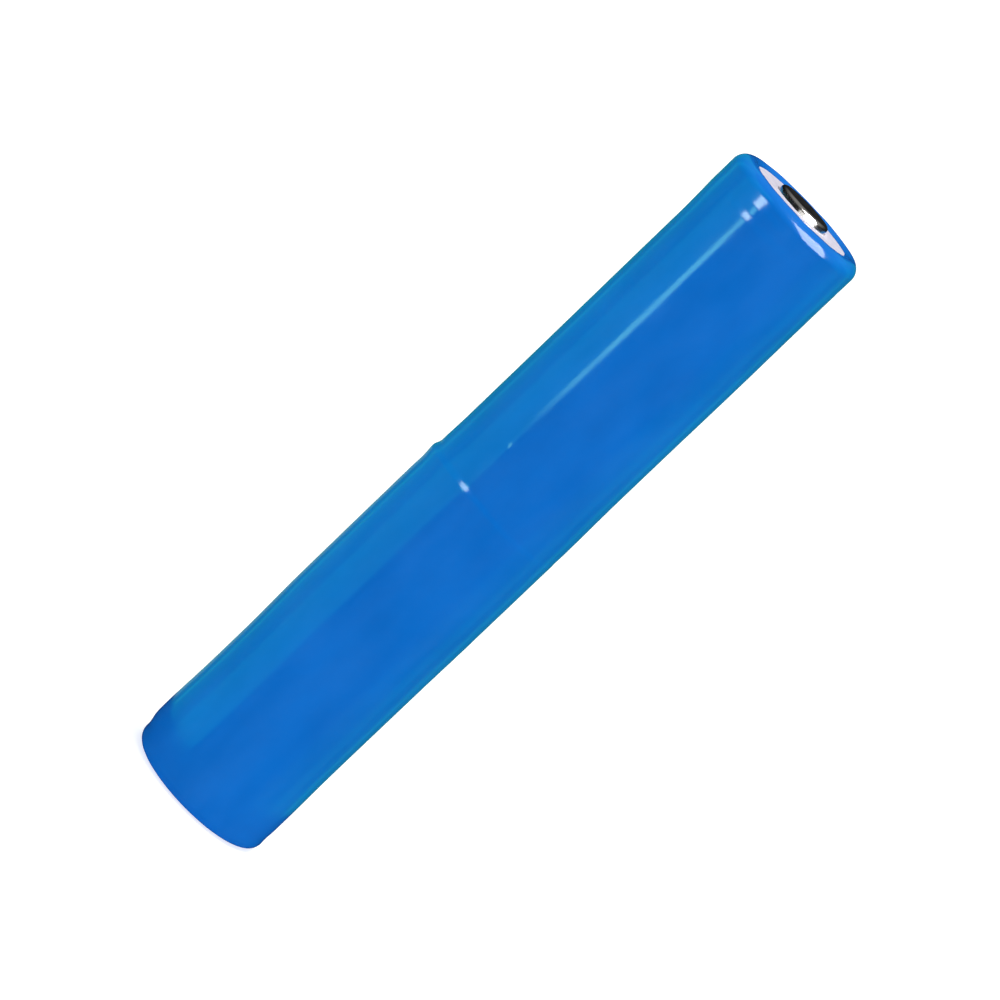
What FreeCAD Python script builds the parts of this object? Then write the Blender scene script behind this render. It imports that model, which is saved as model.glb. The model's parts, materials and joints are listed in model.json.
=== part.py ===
# Battery stick: two 26650 lithium cells welded in series and held in one heat-shrink sleeve.
# Millimetres. +Z runs along the cells' axis, from the negative end to the positive end.
# The origin is the centre of the sleeve's bottom lip, which the stick stands on.
import FreeCAD, Part
import math
import os
from FreeCAD import Vector

# Driving dimensions
can_radius = 12.95
can_wall = 0.3
can_corner = 1.55
crimp_corner = 1.8
cell_height = 67.8
button_radius = 5.0
button_rise = 1.15
ring_thickness = 0.25
sleeve_wall = 0.15
sleeve_clearance = 0.02
joint_gap = 0.7

# Heights within one cell, from the outside of the can's floor
crimp_top = cell_height - button_rise - ring_thickness
gasket_wall = 0.5
cap_thickness = 0.6
ptc_thickness = 0.6
vent_thickness = 0.4
lip_underside = crimp_top - can_wall
cap_flange_top = lip_underside - gasket_wall
ptc_top = cap_flange_top - cap_thickness
vent_top = ptc_top - ptc_thickness
vent_underside = vent_top - vent_thickness
bead_shelf = vent_underside - gasket_wall
vent_dish = 0.7
weld_plate_thickness = 0.4
weld_plate_top = vent_underside - vent_dish
weld_plate_underside = weld_plate_top - weld_plate_thickness

# Radii of the header's pieces
can_inner_radius = can_radius - can_wall
crimp_lip_radius = 9.7
bead_depth = 1.25
bead_height = 1.75
gasket_lip_radius = 9.2
gasket_foot_radius = 10.2
cap_flange_radius = 10.6
ptc_radius = 11.4
ptc_hole_radius = 6.2
vent_radius = 12.0
vent_dish_radius = 6.2
score_radius = 6.8
cid_ring_radius = 9.5
cid_ring_hole_radius = 7.2
weld_plate_radius = 8.7
weld_plate_hole_radius = 0.9
weld_plate_hole_circle = 5.2
ring_radius = 10.4
ring_hole_radius = 5.3

# Wound electrodes and what lies round them
core_radius = 2.0
positive_thickness = 0.34
negative_thickness = 0.26
separator_thickness = 0.06
layer_gap = 0.015
half_turns = 25
layer_pitch = positive_thickness + negative_thickness + 2 * separator_thickness + 4 * layer_gap
inner_separator_offset = positive_thickness + layer_gap
negative_offset = inner_separator_offset + separator_thickness + layer_gap
outer_separator_offset = negative_offset + negative_thickness + layer_gap
foil_tab_thickness = 0.12
insulator_thickness = 0.3
tab_top = can_wall + foil_tab_thickness
roll_bottom = tab_top + insulator_thickness
roll_top = 61.0
negative_margin = 0.8
positive_margin = 1.3
positive_tab_width = 3.0
positive_tab_turns = 5.75
tab_clearance = 0.03
positive_tab_x = core_radius + positive_tab_turns * layer_pitch + tab_clearance + foil_tab_thickness / 2
negative_tab_width = 5.0
negative_tab_radius = (core_radius + (half_turns - 1) * layer_pitch / 2
                       + negative_offset + negative_thickness / 2)
bottom_insulator_radius = 11.3
top_insulator_radius = 12.2
gas_hole_circle = 9.0
gas_hole_radius = 1.0
pin_radius = 2.0
pin_wall = 0.25
pin_hole_radius = 2.1

# Heights in the stick
lower_floor = sleeve_wall
upper_floor = lower_floor + cell_height + joint_gap
sleeve_top = upper_floor + crimp_top + ring_thickness + sleeve_wall
sleeve_radius = can_radius + sleeve_clearance + sleeve_wall
sleeve_top_lip_radius = 9.43
sleeve_bottom_lip_radius = 9.8
sleeve_bottom_corner = 1.7
sleeve_top_corner = 2.15
joint_dip = 0.15
bead_dip = 0.1
strip_thickness = 0.15
strip_width = 8.0

ORIGIN = Vector(0, 0, 0)
UP = Vector(0, 0, 1)


# ---- profiles in the XZ plane ----

def left_normal(direction):
    return Vector(-direction.z, 0, direction.x)


def centreline(corners):
    """Lines and tangent arcs through corners of (x, z, fillet radius), as lists of (point, left normal)."""
    points = [Vector(x, 0, z) for x, z, _ in corners]
    segments = []
    start = points[0]
    for previous, corner, following, (_, _, radius) in zip(points, points[1:], points[2:], corners[1:]):
        before = (corner - previous).normalize()
        after = (following - corner).normalize()
        half_turn = before.getAngle(after) / 2
        setback = radius * math.tan(half_turn)
        inward = (after - before).normalize()
        middle = corner + inward * (radius / math.cos(half_turn) - radius)
        arc_start = corner - before * setback
        arc_end = corner + after * setback
        segments.append([(start, left_normal(before)), (arc_start, left_normal(before))])
        segments.append([(arc_start, left_normal(before)),
                         (middle, left_normal((before + after).normalize())),
                         (arc_end, left_normal(after))])
        start = arc_end
    last = (points[-1] - points[-2]).normalize()
    segments.append([(start, left_normal(last)), (points[-1], left_normal(last))])
    return segments


def offset_edges(segments, distance):
    edges = []
    for stations in segments:
        moved = [point + normal * distance for point, normal in stations]
        if (moved[-1] - moved[0]).Length < 1e-6:
            continue
        curve = Part.LineSegment(*moved) if len(moved) == 2 else Part.Arc(*moved)
        edges.append(curve.toShape())
    return edges


def sheet_face(corners, thickness):
    """The section of a bent sheet of even thickness, whose middle follows corners."""
    segments = centreline(corners)
    one_side = offset_edges(segments, thickness / 2)
    other_side = offset_edges(segments, -thickness / 2)
    (first, first_normal), (last, last_normal) = segments[0][0], segments[-1][-1]
    ends = [Part.LineSegment(point + normal * thickness / 2, point - normal * thickness / 2).toShape()
            for point, normal in ((first, first_normal), (last, last_normal))]
    edges = Part.__sortEdges__(one_side + other_side + ends)
    return Part.Face(Part.Wire(edges))


def turned(face):
    return face.revolve(ORIGIN, UP, 360)


def turned_sheet(corners, thickness):
    return turned(sheet_face(corners, thickness))


def bent_strip(corners, thickness, width):
    """A sheet bent in the XZ plane, width wide in Y and centred on it."""
    strip = sheet_face(corners, thickness).extrude(Vector(0, width, 0))
    strip.translate(Vector(0, -width / 2, 0))
    return strip


def washer(outer_radius, hole_radius, bottom, top):
    height = top - bottom
    disc = Part.makeCylinder(outer_radius, height, Vector(0, 0, bottom))
    return disc.cut(Part.makeCylinder(hole_radius, height, Vector(0, 0, bottom)))


def round_holes(count, circle_radius, hole_radius, bottom, top):
    """Upright cutting rods, evenly spaced on a circle."""
    rods = []
    for i in range(count):
        angle = 2 * math.pi * i / count
        foot = Vector(circle_radius * math.cos(angle), circle_radius * math.sin(angle), bottom)
        rods.append(Part.makeCylinder(hole_radius, top - bottom, foot))
    return Part.makeCompound(rods)


# ---- the header: everything held in the crimp ----

def make_can():
    """Deep-drawn can with a bead rolled in below the crimp, and a weld dimple under its floor."""
    wall_middle = can_radius - can_wall / 2
    bead_middle = wall_middle - bead_depth
    floor_middle = can_wall / 2
    shelf_middle = bead_shelf - can_wall / 2
    lip_middle = crimp_top - can_wall / 2
    lower_arm = shelf_middle - bead_height
    lower_arm_rise = 0.8
    lower_arm_fillet = 0.5
    bead_fillet = 0.3
    can = turned_sheet([
        (0, floor_middle, 0),
        (wall_middle, floor_middle, can_corner - can_wall / 2),
        (wall_middle, lower_arm, lower_arm_fillet),
        (bead_middle, lower_arm + lower_arm_rise, bead_fillet),
        (bead_middle, shelf_middle, bead_fillet),
        (wall_middle, shelf_middle, bead_fillet),
        (wall_middle, lip_middle, crimp_corner - can_wall / 2),
        (crimp_lip_radius, lip_middle, 0),
    ], can_wall)
    dimple_depth = 0.1
    dimple_sphere = 10.0
    dimple = Part.makeSphere(dimple_sphere, Vector(0, 0, dimple_depth - dimple_sphere))
    return can.cut(dimple)


def make_crimp_gasket():
    """Moulded ring that wraps the header's edge and insulates it from the can."""
    wall_middle = can_inner_radius - gasket_wall / 2
    top_middle = lip_underside - gasket_wall / 2
    bottom_middle = bead_shelf + gasket_wall / 2
    bottom_fillet = 0.3
    return turned_sheet([
        (gasket_foot_radius, bottom_middle, 0),
        (wall_middle, bottom_middle, bottom_fillet),
        (wall_middle, top_middle, crimp_corner - can_wall - gasket_wall / 2),
        (gasket_lip_radius, top_middle, 0),
    ], gasket_wall)


def make_positive_cap():
    """Drawn cap whose button is the positive terminal, with gas windows in its wall."""
    flange_middle = cap_flange_top - cap_thickness / 2
    top_middle = cell_height - cap_thickness / 2
    wall_middle = button_radius - cap_thickness / 2
    draft = 0.3
    bend = 0.4
    cap = turned_sheet([
        (cap_flange_radius, flange_middle, 0),
        (wall_middle + draft, flange_middle, bend),
        (wall_middle, top_middle, bend),
        (0, top_middle, 0),
    ], cap_thickness)
    window_width = 2.6
    window_height = 0.7
    window_sill = 0.3
    window_bottom = cap_flange_top + window_sill
    window_length = 2 * cap_flange_radius
    for angle in (0, 90):
        window = Part.makeBox(window_length, window_width, window_height,
                              Vector(-window_length / 2, -window_width / 2, window_bottom))
        window.rotate(ORIGIN, UP, angle)
        cap = cap.cut(window)
    return cap


def make_ptc_ring():
    """Resettable fuse: a ring between the cap and the vent disc."""
    return washer(ptc_radius, ptc_hole_radius, ptc_top - ptc_thickness, ptc_top)


def make_vent_disc():
    """Dished disc, scored so that it opens at a set pressure; its centre rests on the weld plate."""
    rim_middle = vent_top - vent_thickness / 2
    dish_middle = rim_middle - vent_dish
    dish_slope = 2.2
    dish_fillet = 0.6
    disc = turned_sheet([
        (vent_radius, rim_middle, 0),
        (vent_dish_radius, rim_middle, dish_fillet),
        (vent_dish_radius - dish_slope, dish_middle, dish_fillet),
        (0, dish_middle, 0),
    ], vent_thickness)
    score_depth = vent_thickness / 2
    score = Part.makeTorus(score_radius, score_depth, Vector(0, 0, vent_top))
    return disc.cut(score)


def make_cid_ring():
    """Moulded ring that keeps the weld plate off the vent disc everywhere but at the centre."""
    rest = washer(cid_ring_radius, cid_ring_hole_radius, weld_plate_top, vent_underside)
    skirt = washer(cid_ring_radius, weld_plate_radius, weld_plate_underside, weld_plate_top)
    return rest.fuse(skirt).removeSplitter()


def make_weld_plate():
    """Perforated disc that the positive tab is welded to."""
    plate = Part.makeCylinder(weld_plate_radius, weld_plate_thickness, Vector(0, 0, weld_plate_underside))
    return plate.cut(round_holes(6, weld_plate_hole_circle, weld_plate_hole_radius,
                                 weld_plate_underside, weld_plate_top))


def make_insulating_ring():
    """Fibre ring on the crimp, round the button."""
    return washer(ring_radius, ring_hole_radius, crimp_top, crimp_top + ring_thickness)


# ---- the wound electrodes ----

def spiral_arcs(offset, first, last):
    """Half circles about two centres, which together grow by one layer pitch a turn."""
    step = layer_pitch / 2
    arcs = []
    for half_turn in range(first, last):
        radius = core_radius + half_turn * step + offset
        side = 1 if half_turn % 2 == 0 else -1
        centre = Vector(-side * step / 2, 0, 0)
        arcs.append(Part.Arc(centre + Vector(side * radius, 0, 0),
                             centre + Vector(0, side * radius, 0),
                             centre - Vector(side * radius, 0, 0)))
    return arcs


def wound_strip(offset, thickness, margin, spare_half_turns):
    """One layer of the roll, shorter than the separators by margin at each edge."""
    first = spare_half_turns
    last = half_turns - spare_half_turns
    inner = spiral_arcs(offset, first, last)
    outer = spiral_arcs(offset + thickness, first, last)
    ends = [Part.LineSegment(inner[0].StartPoint, outer[0].StartPoint),
            Part.LineSegment(inner[-1].EndPoint, outer[-1].EndPoint)]
    edges = Part.__sortEdges__([curve.toShape() for curve in inner + outer + ends])
    strip = Part.Face(Part.Wire(edges)).extrude(Vector(0, 0, roll_top - roll_bottom - 2 * margin))
    strip.translate(Vector(0, 0, roll_bottom + margin))
    return strip


def make_positive_electrode():
    return wound_strip(0, positive_thickness, positive_margin, 2)


def make_inner_separator():
    return wound_strip(inner_separator_offset, separator_thickness, 0, 0)


def make_negative_electrode():
    """The layer's outer end stops where the negative tab begins."""
    electrode = wound_strip(negative_offset, negative_thickness, negative_margin, 1)
    reach = 0.6 * layer_pitch
    tab_place = Vector(negative_tab_radius - layer_pitch / 4 - reach, -negative_tab_width / 2, 0)
    return electrode.cut(Part.makeBox(2 * reach, negative_tab_width, roll_top, tab_place))


def make_outer_separator():
    return wound_strip(outer_separator_offset, separator_thickness, 0, 0)


def make_centre_pin():
    """Rolled steel tube, slit along its length, that keeps the roll's core open."""
    pin = washer(pin_radius, pin_radius - pin_wall, tab_top, roll_top)
    slit_width = 0.5
    slit = Part.makeBox(2 * pin_radius, slit_width, roll_top, Vector(0, -slit_width / 2, 0))
    return pin.cut(slit)


def make_positive_tab():
    """Aluminium strip from the roll, folded once under the header and up to the weld plate."""
    fold_rise = 1.0
    fold_height = roll_top + fold_rise
    fold_radius = 0.3
    plate_leg = weld_plate_underside - foil_tab_thickness / 2
    foot = roll_top - positive_margin
    return bent_strip([
        (positive_tab_x, foot, 0),
        (positive_tab_x, fold_height, fold_radius),
        (-positive_tab_x / 2, fold_height, fold_radius),
        (-positive_tab_x / 2, plate_leg, fold_radius),
        (core_radius, plate_leg, 0),
    ], foil_tab_thickness, positive_tab_width)


def make_negative_tab():
    """Nickel strip from the negative electrode's outer end, under the roll to the can's floor."""
    leg_top = 0.7 * roll_top
    foot_middle = can_wall + foil_tab_thickness / 2
    bend = 0.4
    all_round = turned_sheet([
        (0, foot_middle, 0),
        (negative_tab_radius, foot_middle, bend),
        (negative_tab_radius, leg_top, 0),
    ], foil_tab_thickness)
    reach = 3.0
    one_side = Part.makeBox(can_radius + reach, negative_tab_width, roll_top,
                            Vector(-reach, -negative_tab_width / 2, 0))
    tab = all_round.common(one_side)
    tab.translate(Vector(-layer_pitch / 4, 0, 0))
    return tab


def make_bottom_insulator():
    return washer(bottom_insulator_radius, pin_hole_radius, tab_top, roll_bottom)


def make_top_insulator():
    """Disc with gas holes and a slot for the positive tab."""
    top = roll_top + insulator_thickness
    disc = washer(top_insulator_radius, pin_hole_radius, roll_top, top)
    slot_length = 3.6
    slot_width = 0.9
    slot = Part.makeBox(slot_width, slot_length, insulator_thickness,
                        Vector(positive_tab_x - slot_width / 2, -slot_length / 2, roll_top))
    holes = round_holes(4, gas_hole_circle, gas_hole_radius, roll_top, top)
    holes.rotate(ORIGIN, UP, 45)
    return disc.cut(slot).cut(holes)


# ---- what joins the two cells ----

def make_connector_strip():
    """Nickel strip welded to the lower button and the upper can, folded flat between them."""
    lower_leg = lower_floor + cell_height + strip_thickness / 2
    upper_leg = upper_floor - strip_thickness / 2
    welded_end = -4.0
    fold = 9.4
    fold_radius = 0.2
    return bent_strip([
        (welded_end, lower_leg, 0),
        (fold, lower_leg, fold_radius),
        (fold, upper_leg, fold_radius),
        (welded_end, upper_leg, 0),
    ], strip_thickness, strip_width)


def make_shrink_sleeve():
    """Heat-shrink tube round both cells, drawn in over each end and a little at the joint and bead."""
    middle = sleeve_radius - sleeve_wall / 2
    bottom_middle = sleeve_wall / 2
    top_middle = sleeve_top - sleeve_wall / 2
    joint = lower_floor + (crimp_top + cell_height + joint_gap) / 2
    joint_reach = 2.2
    bead = upper_floor + bead_shelf - (can_wall + bead_height) / 2
    bead_reach = 0.95
    soft = 4.0
    return turned_sheet([
        (sleeve_bottom_lip_radius, bottom_middle, 0),
        (middle, bottom_middle, sleeve_bottom_corner - sleeve_wall / 2),
        (middle, joint - joint_reach, soft),
        (middle - joint_dip, joint, soft),
        (middle, joint + joint_reach, soft),
        (middle, bead - bead_reach, soft),
        (middle - bead_dip, bead, soft),
        (middle, bead + bead_reach, soft),
        (middle, top_middle, sleeve_top_corner - sleeve_wall / 2),
        (sleeve_top_lip_radius, top_middle, 0),
    ], sleeve_wall)


CELL_PIECES = {
    "can": make_can,
    "crimp_gasket": make_crimp_gasket,
    "positive_cap": make_positive_cap,
    "ptc_ring": make_ptc_ring,
    "vent_disc": make_vent_disc,
    "cid_ring": make_cid_ring,
    "weld_plate": make_weld_plate,
    "insulating_ring": make_insulating_ring,
    "positive_electrode": make_positive_electrode,
    "inner_separator": make_inner_separator,
    "negative_electrode": make_negative_electrode,
    "outer_separator": make_outer_separator,
    "centre_pin": make_centre_pin,
    "positive_tab": make_positive_tab,
    "negative_tab": make_negative_tab,
    "bottom_insulator": make_bottom_insulator,
    "top_insulator": make_top_insulator,
}


def save(name, shape):
    if len(shape.Solids) != 1 or not shape.isValid():
        raise ValueError(f"{name} isn't one valid solid")
    shape.Solids[0].exportStep(f"parts/{name}.step")
    print(f"{name:28s} {shape.Volume:10.2f} mm3")


def main():
    os.makedirs("parts", exist_ok=True)
    for piece, make in CELL_PIECES.items():
        shape = make()
        for cell, floor in (("lower", lower_floor), ("upper", upper_floor)):
            placed = shape.copy()
            placed.translate(UP * floor)
            save(f"{cell}_{piece}", placed)
    save("connector_strip", make_connector_strip())
    save("shrink_sleeve", make_shrink_sleeve())


main()
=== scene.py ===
import json
import math

import bpy
from mathutils import Matrix, Vector, noise


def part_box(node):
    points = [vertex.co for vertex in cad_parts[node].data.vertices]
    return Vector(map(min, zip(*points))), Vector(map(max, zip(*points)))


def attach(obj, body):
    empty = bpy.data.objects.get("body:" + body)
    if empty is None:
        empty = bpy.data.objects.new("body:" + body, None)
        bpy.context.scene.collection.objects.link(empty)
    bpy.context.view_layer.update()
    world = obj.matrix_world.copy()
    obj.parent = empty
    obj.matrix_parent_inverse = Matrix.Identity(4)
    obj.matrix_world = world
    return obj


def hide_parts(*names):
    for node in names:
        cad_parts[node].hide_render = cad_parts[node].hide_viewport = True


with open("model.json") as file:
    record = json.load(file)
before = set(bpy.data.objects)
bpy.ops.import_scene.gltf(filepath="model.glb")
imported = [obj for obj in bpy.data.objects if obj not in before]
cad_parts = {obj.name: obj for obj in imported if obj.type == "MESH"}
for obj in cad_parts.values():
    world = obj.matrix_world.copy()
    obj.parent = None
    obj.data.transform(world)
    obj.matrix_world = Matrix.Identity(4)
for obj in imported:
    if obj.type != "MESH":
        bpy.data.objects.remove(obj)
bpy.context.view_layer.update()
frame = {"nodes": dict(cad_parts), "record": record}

MM = 0.001

# ---------------------------------------------------------------- sizes, in millimetres
SLEEVE_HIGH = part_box("shrink_sleeve")[1] / MM
SLEEVE_RADIUS = SLEEVE_HIGH.x
SLEEVE_TOP = SLEEVE_HIGH.z
SLEEVE_WALL = 0.15
SLEEVE_CLEARANCE = 0.02
BOTTOM_LIP_RADIUS = 9.8
TOP_LIP_RADIUS = 9.55
LIP_THICKNESS = 0.06
BOTTOM_CORNER = 1.7
CROWN_RISE = 0.27
CROWN_LEAN = 0.2
CROWN_HEIGHT = SLEEVE_TOP + CROWN_RISE
CROWN_RADIUS = 11.0
CROWN_CORNER = 2.3

CAN_RADIUS = SLEEVE_RADIUS - SLEEVE_WALL - SLEEVE_CLEARANCE
CRIMP_CORNER = 1.8
CAN_CORNER = 1.55
LOWER_CRIMP_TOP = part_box("lower_can")[1].z / MM
LOWER_SHOULDER = LOWER_CRIMP_TOP - CRIMP_CORNER
UPPER_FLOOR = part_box("upper_can")[0].z / MM
BEAD_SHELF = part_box("upper_crimp_gasket")[0].z / MM
BEAD_LOW = BEAD_SHELF - 1.9
BEAD_HIGH = BEAD_SHELF + 0.15
BEAD_MIDDLE = BEAD_SHELF - 1.0
JOINT_MIDDLE = (LOWER_CRIMP_TOP + UPPER_FLOOR) / 2
PIMPLE_HEIGHT = 77.8

# angles round the barrel, in radians from +X
TAU = 2 * math.pi
LEFT, RIGHT = math.pi, 0.0
SPOT_SIDE = -math.pi / 2 - 0.38


# ---------------------------------------------------------------- shrink sleeve
AROUND = 252
COARSE_STEP, FINE_STEP = 0.8, 0.16
FILM_SLACK = 0.03


def hump(distance, reach):
    """1 in the middle of a bump or groove, falling smoothly to 0 about two reaches away."""
    return math.exp(-(distance / reach) ** 2)


def towards(angle, middle, reach):
    """1 on the side of the barrel at middle, falling to 0 about two reaches round it, in radians."""
    away = (angle - middle + math.pi) % TAU - math.pi
    return hump(away, reach)


def ramp(value, start, end):
    """0 before start, 1 after end, smooth between."""
    part = min(max((value - start) / (end - start), 0), 1)
    return part * part * (3 - 2 * part)


def wave(angle, height, across, along, seed):
    """Seamless noise on the barrel, about -1 to 1: features are about across and along mm in size."""
    reach = SLEEVE_RADIUS / across
    place = Vector((reach * math.cos(angle) + seed, reach * math.sin(angle) - seed, height / along))
    return noise.noise(place) * 1.6


def joint_line(angle):
    """Height of the crease where the film steps in from the lower cell to the upper one."""
    rise = 0.65 * towards(angle, SPOT_SIDE, 0.8)
    wander = 0.1 * wave(angle, 0, 5, 1, 3.1)
    return JOINT_MIDDLE + 0.5 + rise + wander


def joint_relief(angle, height):
    """Faint crease between the cells, deepest where it catches the light, with bunched film below it."""
    above = height - joint_line(angle)
    spot = towards(angle, SPOT_SIDE, 0.3)
    left = towards(angle, LEFT, 0.5)
    crease_depth = 0.03 + 0.04 * spot
    ridge_height = 0.02 + 0.05 * spot + 0.08 * left
    hollow_depth = 0.06 * left
    crease = -crease_depth * hump(above - 0.15, 0.5)
    ridge = ridge_height * hump(above + 0.9, 0.9)
    hollow = -hollow_depth * hump(above + 3.4, 1.2)
    return crease + ridge + hollow


def bead_relief(angle, height):
    """Groove over the rolled bead, between a slight swell and the sloping start of the shoulder."""
    above = height - (BEAD_MIDDLE - 0.5 + 0.12 * wave(angle, 0, 6, 1, 7.7))
    spot = towards(angle, SPOT_SIDE, 0.45)
    strength = 0.25 + 0.75 * spot
    groove_depth = 0.062 + 0.02 * wave(angle, 0, 7, 1, 9.1)
    groove = -groove_depth * hump(above, 0.75)
    swell = 0.04 * hump(above + 1.5, 0.9)
    slope = -0.13 * spot * ramp(height, BEAD_HIGH - 0.5, BEAD_HIGH + 1.2)
    return strength * (groove + swell) + slope + crimp_slack(angle, height)


def crimp_slack(angle, height):
    """How far the film stands off the crimped end: most on the left, and not at all on the right."""
    slack = 0.1 + 0.13 * towards(angle, LEFT, 0.9) - 0.1 * towards(angle, RIGHT, 0.9)
    return slack * ramp(height, BEAD_LOW - 9, BEAD_LOW + 1)


def film_relief(angle, height):
    """Slow waves of the shrunk film, and small puckers near its ends and at the joint."""
    slow = 0.03 * wave(angle, height, 9, 26, 11.3)
    middle = 0.006 * wave(angle, height, 3.5, 9, 5.9)
    ends = ramp(height, BEAD_LOW - 9, BEAD_LOW) + ramp(-height, -9, -3)
    near_joint = hump(height - joint_line(angle), 3)
    puckers = 0.016 * wave(angle, height, 1.6, 4.5, 2.3) * (0.9 * ends + near_joint)
    return slow + middle + puckers


def lower_looseness(left, right, height):
    """How far the film stands off the lower cell: most on the left, with a swell near the bottom."""
    bottom_swell = 0.2 * hump(height - 7, 6)
    upper_swell = 0.2 * ramp(height, 24, 38)
    on_left = 0.14 + bottom_swell + upper_swell
    right_bottom_swell = 0.17 * hump(height - 7, 8)
    right_upper_swell = 0.1 * ramp(height, 38, 50)
    on_right = -0.05 + right_bottom_swell + right_upper_swell
    return 0.12 + left * on_left + right * on_right


def upper_looseness(left, right, height, line):
    """How far the film stands off the upper cell: a little, just above the joint, and less further up."""
    left_trail = 0.13 * left * ramp(-height, -line - 7, -line)
    right_trail = 0.12 * right * ramp(-height, -line - 14, -line - 2)
    right_rest = 0.05 * right * ramp(-height, -122, -106)
    return left_trail + right_trail + right_rest


def looseness(angle, height):
    """How far the film stands off the two cells, and off the right of the bottom corner."""
    line = joint_line(angle)
    left = towards(angle, LEFT, 1.1)
    right = towards(angle, RIGHT, 1.1)
    on_lower = ramp(height, 2.2, 4.8) * ramp(-height, -line - 0.9, -line + 0.7)
    on_upper = ramp(height, line - 0.7, line + 0.9)
    foot = 0.24 * right * hump(height - 1.2, 2)
    lower = on_lower * lower_looseness(left, right, height)
    upper = on_upper * upper_looseness(left, right, height, line)
    return lower + upper + foot


def small_marks(angle, height):
    """A pimple and a pinprick in the film above the joint."""
    pimple = 0.05 * hump(height - PIMPLE_HEIGHT, 0.8) * towards(angle, SPOT_SIDE, 0.06)
    pinprick = -0.04 * hump(height - PIMPLE_HEIGHT + 0.3, 0.3) * towards(angle, SPOT_SIDE + 0.18, 0.03)
    return pimple + pinprick


def backing_radius(height):
    """Radius of the can behind the film at a height, or 0 over the gap and the bead."""
    if LOWER_SHOULDER < height < LOWER_CRIMP_TOP:
        rise = height - LOWER_SHOULDER
        return CAN_RADIUS - CRIMP_CORNER + math.sqrt(CRIMP_CORNER ** 2 - rise ** 2)
    if UPPER_FLOOR < height < UPPER_FLOOR + CAN_CORNER:
        drop = UPPER_FLOOR + CAN_CORNER - height
        return CAN_RADIUS - CAN_CORNER + math.sqrt(CAN_CORNER ** 2 - drop ** 2)
    if LOWER_CRIMP_TOP <= height <= UPPER_FLOOR or BEAD_LOW < height < BEAD_HIGH:
        return 0
    return CAN_RADIUS


def barrel_radius(angle, height):
    """Outer radius of the sleeve at a height, never sinking into the cans."""
    relief = (joint_relief(angle, height) + bead_relief(angle, height) + film_relief(angle, height)
              + looseness(angle, height) + small_marks(angle, height))
    least = backing_radius(height) + SLEEVE_CLEARANCE + SLEEVE_WALL
    return max(SLEEVE_RADIUS + FILM_SLACK + relief, least)


def lip_pucker(angle, seed):
    """How far the cut end of the film wanders in and out, in mm."""
    return 0.12 * wave(angle, 0, 3, 1, seed) + 0.05 * wave(angle, 0, 1.1, 1, seed + 4)


def barrel_heights():
    """Rows up the barrel, close together where the relief is fine."""
    heights = []
    height = BOTTOM_CORNER
    top = CROWN_HEIGHT - CROWN_CORNER
    least_gap = 0.05
    while height < top - least_gap:
        heights.append(height)
        near_joint = abs(height - JOINT_MIDDLE) < 4.5
        near_pimple = abs(height - PIMPLE_HEIGHT) < 1.5
        near_bead = height > BEAD_LOW - 1.5
        height += FINE_STEP if near_joint or near_pimple or near_bead else COARSE_STEP
    heights.append(top)
    return heights


def bottom_rows(angle):
    """(radius, height, outward, upward, thickness) from the bottom lip round the bottom corner."""
    edge = barrel_radius(angle, BOTTOM_CORNER)
    lip = BOTTOM_LIP_RADIUS + lip_pucker(angle, 21.4)
    flat_steps, corner_steps = 8, 12
    rows = []
    for step in range(flat_steps):
        radius = lip + step / flat_steps * (edge - BOTTOM_CORNER - lip)
        rows.append((radius, 0, 0, -1, SLEEVE_WALL))
    for step in range(corner_steps):
        turn = math.pi / 2 * step / corner_steps
        out, down = math.sin(turn), math.cos(turn)
        radius = edge + BOTTOM_CORNER * (out - 1)
        rows.append((radius, BOTTOM_CORNER * (1 - down), out, -down, SLEEVE_WALL))
    return rows


def top_rows(angle):
    """The same, over the shoulder to the crown, then down to the thin lip on the ring."""
    shoulder = CROWN_HEIGHT - CROWN_CORNER
    across = barrel_radius(angle, shoulder) - CROWN_RADIUS
    lip = TOP_LIP_RADIUS + lip_pucker(angle, 33.8)
    crown = CROWN_HEIGHT + CROWN_LEAN * math.sin(angle) + 0.04 * wave(angle, 0, 4, 1, 41.2)
    lip_height = SLEEVE_TOP - SLEEVE_WALL + LIP_THICKNESS
    corner_steps, fold_steps = 20, 12
    rows = []
    for step in range(1, corner_steps + 1):
        turn = math.pi / 2 * step / corner_steps
        out, up = math.cos(turn), math.sin(turn)
        height = shoulder + (crown - CROWN_HEIGHT + CROWN_CORNER) * up
        rows.append((CROWN_RADIUS + across * out, height, out, up, SLEEVE_WALL))
    for step in range(1, fold_steps + 1):
        part = step / fold_steps
        fall = ramp(part, 0, 1)
        wall = SLEEVE_WALL + fall * (LIP_THICKNESS - SLEEVE_WALL)
        radius = CROWN_RADIUS + part * (lip - CROWN_RADIUS)
        rows.append((radius, crown + fall * (lip_height - crown), 0, 1, wall))
    return rows


def sleeve_profile(angle):
    """Every row of the outer surface, from the bottom lip to the top lip."""
    barrel = [(barrel_radius(angle, height), height, 1, 0, SLEEVE_WALL) for height in barrel_heights()]
    return bottom_rows(angle) + barrel + top_rows(angle)


def closed_loop(angle):
    """(radius, height) round the film's section: up every outer row, then down inside every third."""
    outer = sleeve_profile(angle)
    sparse = outer[:-1:3] + outer[-1:]
    inner = [(r - out * wall, h - up * wall) for r, h, out, up, wall in sparse]
    return [(r, h) for r, h, *_ in outer] + inner[::-1]


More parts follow.
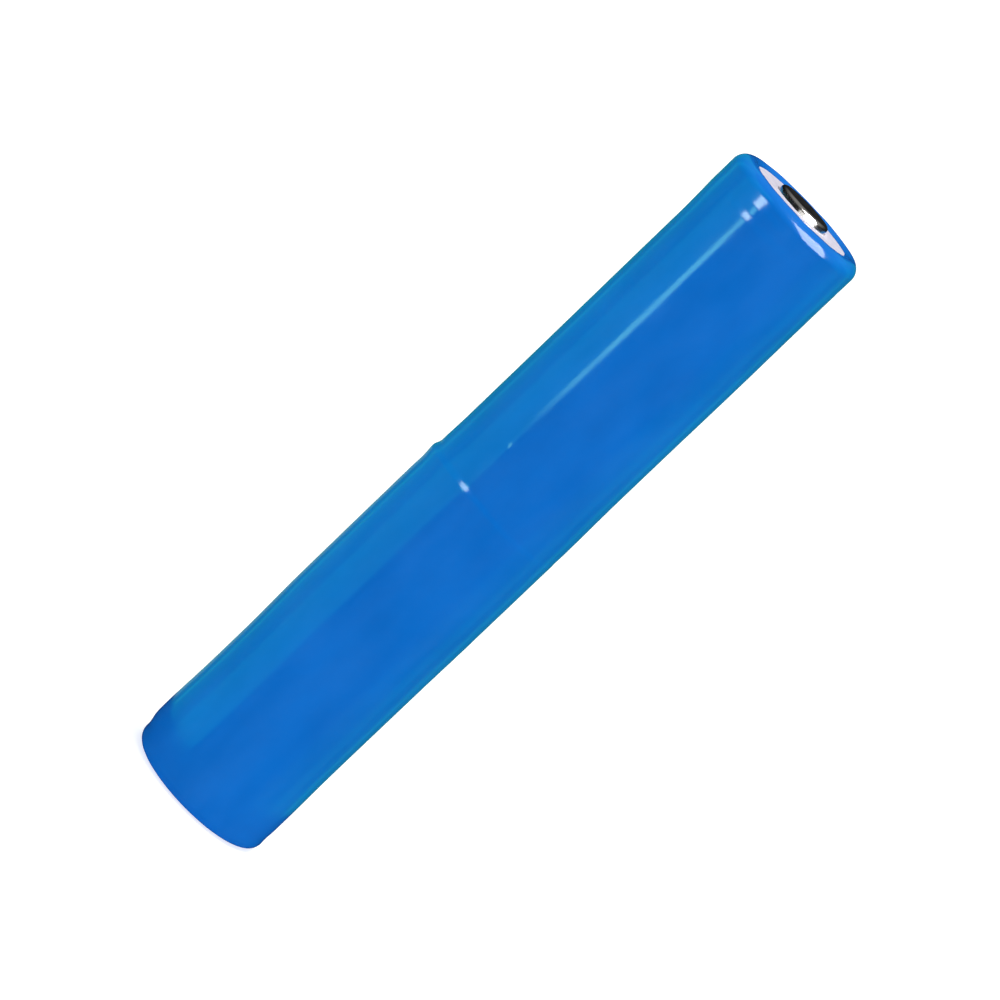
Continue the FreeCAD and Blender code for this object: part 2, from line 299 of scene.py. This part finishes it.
def sleeve_mesh():
    """Closed thin shell, made by joining the section's loops all the way round."""
    points = []
    for index in range(AROUND):
        angle = TAU * index / AROUND
        for radius, height in closed_loop(angle):
            points.append((radius * math.cos(angle) * MM, radius * math.sin(angle) * MM, height * MM))
    count = len(points) // AROUND
    faces = []
    for index in range(AROUND):
        here, beside = index * count, (index + 1) % AROUND * count
        for row in range(count):
            above = (row + 1) % count
            faces.append((here + row, beside + row, beside + above, here + above))
    mesh = bpy.data.meshes.new("shrink_sleeve_film")
    mesh.from_pydata(points, [], faces)
    mesh.shade_smooth()
    return mesh


# ---------------------------------------------------------------- materials
FILM_DARK = (0.0012, 0.136, 0.56)
FILM_LIGHT = (0.002, 0.154, 0.62)


class Nodes:
    """Short way to add nodes and links to one material."""

    def __init__(self, name):
        self.material = bpy.data.materials.new(name)
        self.material.use_nodes = True
        self.tree = self.material.node_tree
        self.shader = self.tree.nodes["Principled BSDF"]
        self.place = self.add("ShaderNodeTexCoord").outputs["Object"]

    def add(self, kind):
        return self.tree.nodes.new(kind)

    def link(self, source, target):
        self.tree.links.new(source, target)

    def scaled(self, scale):
        """Object coordinates times scale, so that scale (1000, 1000, 100) stretches along Z."""
        mapping = self.add("ShaderNodeMapping")
        mapping.inputs["Scale"].default_value = scale
        self.link(self.place, mapping.inputs["Vector"])
        return mapping.outputs["Vector"]

    def noise(self, scale, detail):
        node = self.add("ShaderNodeTexNoise")
        node.inputs["Scale"].default_value = 1
        node.inputs["Detail"].default_value = detail
        self.link(self.scaled(scale), node.inputs["Vector"])
        return node.outputs["Fac"]

    def spread(self, value, low, high):
        """Stretches noise, which mostly lies between 0.3 and 0.7, to run from low to high."""
        node = self.add("ShaderNodeMapRange")
        node.inputs["From Min"].default_value = 0.3
        node.inputs["From Max"].default_value = 0.7
        node.inputs["To Min"].default_value = low
        node.inputs["To Max"].default_value = high
        self.link(value, node.inputs["Value"])
        return node.outputs["Result"]

    def blend_colours(self, value, dark, light, low=0.35, high=0.65):
        node = self.add("ShaderNodeValToRGB")
        node.color_ramp.elements[0].position = low
        node.color_ramp.elements[1].position = high
        node.color_ramp.elements[0].color = (*dark, 1)
        node.color_ramp.elements[1].color = (*light, 1)
        self.link(value, node.inputs["Fac"])
        return node.outputs["Color"]

    def sum(self, first, second, share):
        """first + share x second."""
        node = self.add("ShaderNodeMath")
        node.operation = "MULTIPLY_ADD"
        node.inputs[1].default_value = share
        self.link(second, node.inputs[0])
        self.link(first, node.inputs[2])
        return node.outputs["Value"]

    def bump(self, height, strength, distance):
        node = self.add("ShaderNodeBump")
        node.inputs["Strength"].default_value = strength
        node.inputs["Distance"].default_value = distance
        self.link(height, node.inputs["Height"])
        self.link(node.outputs["Normal"], self.shader.inputs["Normal"])


def grained(name, dark, light, grain, rough, bump, metallic=0.0, specular=0.5):
    """A surface with mottled colour, varied roughness and a fine relief of the given grain."""
    nodes = Nodes(name)
    mottle_scale = 0.35
    mottle = nodes.noise(tuple(mottle_scale * part for part in grain), detail=4)
    fine = nodes.noise(grain, detail=2)
    nodes.link(nodes.blend_colours(mottle, dark, light), nodes.shader.inputs["Base Color"])
    nodes.link(nodes.spread(fine, *rough), nodes.shader.inputs["Roughness"])
    nodes.bump(nodes.sum(fine, mottle, 0.6), strength=1, distance=bump * MM)
    nodes.shader.inputs["Metallic"].default_value = metallic
    nodes.shader.inputs["Specular IOR Level"].default_value = specular
    return nodes.material


def metal(name, dark, light, grain, rough, bump):
    """The same for bare metal, which shows rolling or drawing lines where the grain is uneven."""
    return grained(name, dark, light, grain, rough, bump, metallic=1.0)


def film_material():
    """Blue shrink film: slightly uneven dye and gloss, and a faint orange peel."""
    nodes = Nodes("blue_shrink_film")
    dye = nodes.noise((110, 110, 60), detail=4)
    peel = nodes.noise((650, 650, 420), detail=2)
    smears = nodes.noise((260, 260, 90), detail=3)
    tint = nodes.blend_colours(nodes.sum(dye, smears, 0.2), FILM_DARK, FILM_LIGHT, 0.45, 0.75)
    nodes.link(tint, nodes.shader.inputs["Base Color"])
    nodes.link(nodes.spread(smears, 0.1, 0.17), nodes.shader.inputs["Roughness"])
    nodes.bump(nodes.sum(peel, smears, 0.8), strength=0.35, distance=0.006 * MM)
    nodes.shader.inputs["IOR"].default_value = 1.5
    nodes.shader.inputs["Specular IOR Level"].default_value = 0.3
    return nodes.material


def slot_materials():
    """One procedural material for each of the record's material slots."""
    return {
        "blue_sleeve": film_material(),
        "white_fibre": grained("white_fibre_paper", (0.66, 0.63, 0.74), (0.75, 0.72, 0.83),
                               (1800, 1800, 1800), (0.55, 0.75), 0.01, specular=0.35),
        "nickel_plated_can": metal("nickel_plated_can", (0.55, 0.53, 0.49), (0.66, 0.64, 0.6),
                                   (2500, 2500, 120), (0.22, 0.36), 0.003),
        "nickel_plated_cap": metal("nickel_plated_cap", (0.6, 0.58, 0.55), (0.72, 0.7, 0.67),
                                   (900, 900, 900), (0.12, 0.2), 0.0015),
        "nickel_strip": metal("nickel_strip", (0.58, 0.56, 0.51), (0.68, 0.66, 0.61),
                              (150, 3000, 3000), (0.2, 0.34), 0.003),
        "steel_pin": metal("rolled_steel_pin", (0.4, 0.4, 0.41), (0.52, 0.52, 0.53),
                           (2500, 2500, 200), (0.28, 0.45), 0.004),
        "aluminium_disc": metal("stamped_aluminium", (0.74, 0.74, 0.76), (0.86, 0.86, 0.88),
                                (1500, 1500, 1500), (0.3, 0.45), 0.004),
        "aluminium_foil": metal("aluminium_foil", (0.78, 0.78, 0.8), (0.88, 0.88, 0.9),
                                (600, 600, 600), (0.18, 0.35), 0.02),
        "ptc_polymer": grained("carbon_filled_polymer", (0.03, 0.03, 0.03), (0.07, 0.07, 0.07),
                               (4000, 4000, 4000), (0.55, 0.7), 0.004),
        "gasket_polymer": grained("moulded_gasket", (0.66, 0.7, 0.74), (0.76, 0.8, 0.84),
                                  (1500, 1500, 1500), (0.35, 0.5), 0.004),
        "moulded_polymer": grained("moulded_ring", (0.74, 0.72, 0.64), (0.82, 0.8, 0.72),
                                   (1500, 1500, 1500), (0.35, 0.5), 0.004),
        "insulator_sheet": grained("insulator_sheet", (0.72, 0.7, 0.62), (0.86, 0.84, 0.76),
                                   (1200, 1200, 1200), (0.5, 0.7), 0.008),
        "separator_film": grained("separator_film", (0.84, 0.84, 0.84), (0.92, 0.92, 0.92),
                                  (2000, 2000, 400), (0.3, 0.45), 0.002),
        "cathode_coating": grained("cathode_coating", (0.02, 0.02, 0.024), (0.05, 0.05, 0.056),
                                   (5000, 5000, 5000), (0.6, 0.85), 0.006),
        "graphite_coating": grained("graphite_coating", (0.045, 0.045, 0.05), (0.09, 0.09, 0.098),
                                    (5000, 5000, 5000), (0.45, 0.65), 0.005),
    }


def paint_nodes(materials):
    """Gives every CAD node the material of its slot in the record."""
    for part in frame["record"]["subparts"]:
        node = frame["nodes"][part["node"]]
        for slot in node.material_slots:
            slot.link = "OBJECT"
            slot.material = materials[part["material_slot"]]


# ---------------------------------------------------------------- camera, floor and light
CAMERA_ELEVATION = math.radians(10.9)
CAMERA_DISTANCE = 772.4 * MM
CAMERA_LENS = 175.4
CAMERA_ROLL = math.radians(43.74)
CAMERA_SHIFT = (0.0051, 0.00485)


def make_camera():
    """Looks along +Y from a little above, rolled so that the battery's top points to the upper right."""
    level = Vector((1, 0, 0))
    ahead = Vector((0, math.cos(CAMERA_ELEVATION), -math.sin(CAMERA_ELEVATION)))
    above = Vector((0, math.sin(CAMERA_ELEVATION), math.cos(CAMERA_ELEVATION)))
    right = above * math.cos(CAMERA_ROLL) + level * math.sin(CAMERA_ROLL)
    up = above * math.sin(CAMERA_ROLL) - level * math.cos(CAMERA_ROLL)
    turn = Matrix((right, up, -ahead)).transposed().to_4x4()
    data = bpy.data.cameras.new("photo_camera")
    data.lens = CAMERA_LENS
    data.shift_x, data.shift_y = CAMERA_SHIFT
    data.clip_start, data.clip_end = 0.01, 50
    camera = bpy.data.objects.new("photo_camera", data)
    place = Vector((0, 0, CROWN_HEIGHT / 2 * MM)) - ahead * CAMERA_DISTANCE
    camera.matrix_world = Matrix.Translation(place) @ turn
    bpy.context.scene.collection.objects.link(camera)
    bpy.context.scene.camera = camera


def make_floor():
    """A pale floor, glowing so that the shadow stays faint, which the battery's gloss doesn't mirror."""
    half, low = 12.0, -0.1 * MM
    corners = [(-half, -half, low), (half, -half, low), (half, half, low), (-half, half, low)]
    mesh = bpy.data.meshes.new("floor")
    mesh.from_pydata(corners, [], [(0, 1, 2, 3)])
    floor = bpy.data.objects.new("floor", mesh)
    nodes = Nodes("pale_floor")
    tone = nodes.noise((3, 3, 3), detail=3)
    pale = nodes.blend_colours(tone, (0.5, 0.5, 0.5), (0.52, 0.52, 0.52))
    nodes.link(pale, nodes.shader.inputs["Base Color"])
    nodes.shader.inputs["Emission Color"].default_value = (1, 1, 1, 1)
    nodes.shader.inputs["Emission Strength"].default_value = 0.75
    nodes.shader.inputs["Roughness"].default_value = 0.9
    nodes.shader.inputs["Specular IOR Level"].default_value = 0.0
    mesh.materials.append(nodes.material)
    floor.visible_glossy = False
    bpy.context.scene.collection.objects.link(floor)


def make_world(background, diffuse, glossy_low, glossy_high):
    """White to the camera, even as soft light, and dim but lighter overhead in reflections."""
    world = bpy.data.worlds.new("studio")
    world.use_nodes = True
    tree = world.node_tree
    tree.nodes.clear()
    add = tree.nodes.new
    link = tree.links.new
    path = add("ShaderNodeLightPath")
    place = add("ShaderNodeTexCoord")
    split = add("ShaderNodeSeparateXYZ")
    link(place.outputs["Generated"], split.inputs["Vector"])
    rise = add("ShaderNodeMapRange")
    rise.interpolation_type = "SMOOTHSTEP"
    rise.inputs["From Min"].default_value = 0.25
    rise.inputs["From Max"].default_value = 0.95
    rise.inputs["To Min"].default_value = glossy_low
    rise.inputs["To Max"].default_value = glossy_high
    link(split.outputs["Z"], rise.inputs["Value"])
    shade = rise.outputs["Result"]
    for value, ray in ((diffuse, "Is Diffuse Ray"), (background, "Is Camera Ray")):
        mix = add("ShaderNodeMix")
        mix.inputs["B"].default_value = value
        link(path.outputs[ray], mix.inputs["Factor"])
        link(shade, mix.inputs["A"])
        shade = mix.outputs["Result"]
    shader = add("ShaderNodeBackground")
    link(shade, shader.inputs["Strength"])
    output = add("ShaderNodeOutputWorld")
    link(shader.outputs["Background"], output.inputs["Surface"])
    bpy.context.scene.world = world


def aim(lamp, place, target):
    lamp.location = place
    lamp.rotation_mode = "QUATERNION"
    lamp.rotation_quaternion = (Vector(target) - Vector(place)).to_track_quat("-Z", "Y")


def gloss_light(name, place, target, size, radiance, colour=(1, 1, 1)):
    """A soft box of size (width, height) in metres at place, facing target, which only gloss shows."""
    width, tall = size
    data = bpy.data.lights.new(name, "AREA")
    data.shape = "RECTANGLE"
    data.size, data.size_y = size
    data.energy = radiance * math.pi * width * tall
    data.color = colour
    lamp = bpy.data.objects.new(name, data)
    aim(lamp, place, target)
    lamp.visible_diffuse = False
    lamp.visible_camera = False
    bpy.context.scene.collection.objects.link(lamp)
    return lamp


def sun(name, toward, strength, spread):
    """Very soft light from one direction, which gloss doesn't show."""
    data = bpy.data.lights.new(name, "SUN")
    data.energy = strength
    data.angle = math.radians(spread)
    lamp = bpy.data.objects.new(name, data)
    aim(lamp, toward, (0, 0, 0))
    lamp.visible_glossy = False
    bpy.context.scene.collection.objects.link(lamp)
    return lamp


def around(azimuth, distance, height):
    """A place round the battery, in metres: azimuth 0 is on the camera's side, 90 towards +X."""
    turn = math.radians(azimuth)
    return Vector((distance * math.sin(turn), -distance * math.cos(turn), height))


def upright(name, azimuth, away, low, high, width, radiance, colour):
    """An upright soft box facing the battery's axis, between two heights in metres."""
    place = around(azimuth, away, (low + high) / 2)
    return gloss_light(name, place, (0, 0, place.z), (width, high - low), radiance, colour)


def side_cards():
    """Dim cards close to the barrel, starting below the floor so that the film is lit down to its foot."""
    away, low, high = 0.06, -0.006, 0.194
    cyan, width = (0.03, 1.0, 0.5), 0.047
    shades = ((-62, 1.6), (-104, 0.75), (-140, 0.35), (84, 0.4), (112, 0.36), (142, 0.28))
    cards = []
    for azimuth, radiance in shades:
        cards.append(upright(f"card_{azimuth}", azimuth, away, low, high, width, radiance, cyan))
    cards.append(upright("pale_card", -152, away, low, 0.059, 0.03, 0.16, (1, 1, 1)))
    return cards


def strips():
    """Strips at the front left: their reflections are the long streak and the spots at bead and joint."""
    away = 0.3
    return [
        upright("dim_strip", -46, away, 0.043, 0.097, 0.038, 11, (0.26, 0.85, 0.62)),
        upright("bright_strip", -47, away, 0.116, 0.19, 0.064, 20, (0.82, 1.0, 1.0)),
    ]


def corner_box():
    """A soft box at the upper right, for the highlight on the near shoulder."""
    away, rise, shoulder = 0.4, math.radians(40), 0.13
    place = around(48, away * math.cos(rise), shoulder + away * math.sin(rise))
    gloss_light("corner_box", place, (0, 0, 0.134), (0.36, 0.44), 18)


def button_card():
    """A wide card at the right, for the bright side of the button."""
    return gloss_light("button_card", around(27, 0.3, 0.12), (0, 0, 0.135), (0.42, 0.14), 2.2)


def light_only(lamps, piece, unshaded=False):
    """Links the lamps to one piece, and lets nothing else cast their shadows when unshaded."""
    lit = bpy.data.collections.new("lit_" + piece.name)
    lit.objects.link(piece)
    for lamp in lamps:
        lamp.light_linking.receiver_collection = lit
        if unshaded:
            lamp.light_linking.blocker_collection = lit


def make_lights(film, cap):
    """World, suns and soft boxes, some of them linked to the film or the button alone."""
    make_world(background=1.0, diffuse=0.45, glossy_low=0.012, glossy_high=0.3)
    sun("overhead", (0.1, 0.0, 1.0), 2.2, 30)
    shoulder = sun("shoulder", (0.0, -0.42, 1.0), 1.3, 30)
    shoulder.data.color = (0.9, 1.0, 0.8)
    film_strips = strips()
    corner_box()
    button = button_card()
    light_only(side_cards(), film, unshaded=True)
    light_only(film_strips + [shoulder], film)
    light_only([button], cap, unshaded=True)


# ---------------------------------------------------------------- build the scene
def make_sleeve(film_finish):
    """The visible shrink sleeve, which stands for the plain CAD one."""
    sleeve = bpy.data.objects.new("shrink_sleeve_film", sleeve_mesh())
    bpy.context.scene.collection.objects.link(sleeve)
    sleeve.data.materials.append(film_finish)
    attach(sleeve, "root")
    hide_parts("shrink_sleeve")
    return sleeve


materials = slot_materials()
paint_nodes(materials)
sleeve_film = make_sleeve(materials["blue_sleeve"])
make_camera()
make_floor()
make_lights(sleeve_film, frame["nodes"]["upper_positive_cap"])
bpy.context.scene.view_settings.view_transform = "Standard"

bpy.context.view_layer.update()
